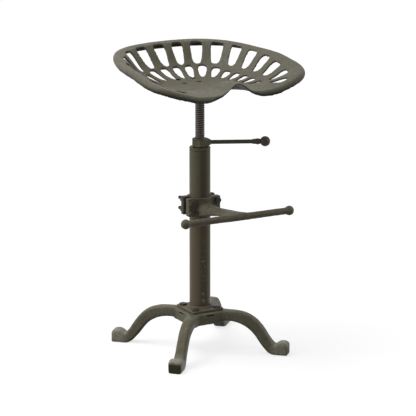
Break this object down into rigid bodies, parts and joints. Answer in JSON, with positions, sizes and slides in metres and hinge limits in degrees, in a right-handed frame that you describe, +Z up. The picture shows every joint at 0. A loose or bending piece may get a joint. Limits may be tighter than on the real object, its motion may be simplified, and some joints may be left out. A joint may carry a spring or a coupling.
{
  "type": "tractor seat stool",
  "caption": "Bar stool with a slotted cast iron tractor seat on a lifting screw, a locking lever, a clamped footrest and a footed iron base.",
  "frame": {"origin": "on the floor, under the middle of the stool's outline; the column's axis is 7.7 mm behind it", "axes": "+Z up along the column; -Y to the front, where the footrest and the seat's notch are; +X to the right-hand side of someone looking along +Y"},
  "size_m": [0.4014, 0.3757, 0.688],
  "materials": {
    "iron": "satin",
    "tube": "satin",
    "steel": "satin"
  },
  "bodies": {
    "base": {"base_bolt_front_left": "steel", "base_bolt_front_right": "steel", "base_bolt_rear_left": "steel", "base_bolt_rear_right": "steel", "base_casting": "iron", "base_nut_front_left": "steel", "base_nut_front_right": "steel", "base_nut_rear_left": "steel", "base_nut_rear_right": "steel", "base_plate": "iron", "column_nut": "iron", "column_tube": "tube"},
    "guide": {"screw_guide": "steel"},
    "seat": {"guide_bolt": "steel", "lifting_screw": "steel", "seat_bolt_front_left": "steel", "seat_bolt_front_right": "steel", "seat_bolt_rear_left": "steel", "seat_bolt_rear_right": "steel", "seat_casting": "iron", "seat_nut_front_left": "steel", "seat_nut_front_right": "steel", "seat_nut_rear_left": "steel", "seat_nut_rear_right": "steel", "seat_socket": "iron", "socket_pin": "steel"},
    "lever": {"lever_ball": "iron", "lever_nut": "iron", "lever_rod": "iron"},
    "footrest": {"clamp_bolt_lower_left": "steel", "clamp_bolt_lower_right": "steel", "clamp_bolt_upper_left": "steel", "clamp_bolt_upper_right": "steel", "clamp_nut_lower_left": "steel", "clamp_nut_lower_right": "steel", "clamp_nut_upper_left": "steel", "clamp_nut_upper_right": "steel", "footrest_casting": "iron", "rear_clamp": "iron"}
  },
  "joints": [
    {"name": "seat_lift", "type": "slide", "parent": "base", "child": "guide", "axis": [0, 0, 1], "range_m": [-0.08, 0.07]},
    {"name": "seat_turn", "type": "hinge", "parent": "guide", "child": "seat", "pos_m": [0, 0.00772, 0.597], "axis": [0, 0, 1], "range_deg": [-5760, 5040]},
    {"name": "lever_turn", "type": "hinge", "parent": "base", "child": "lever", "pos_m": [0, 0.00772, 0.484], "axis": [0, 0, 1], "range_deg": [0, 150]},
    {"name": "footrest_slide", "type": "slide", "parent": "base", "child": "footrest", "axis": [0, 0, 1], "range_m": [-0.18, 0.08]}
  ],
  "couplings": [
    {"joint": "seat_lift", "follows": "seat_turn", "m_per_rad": 0.00079577}
  ]
}
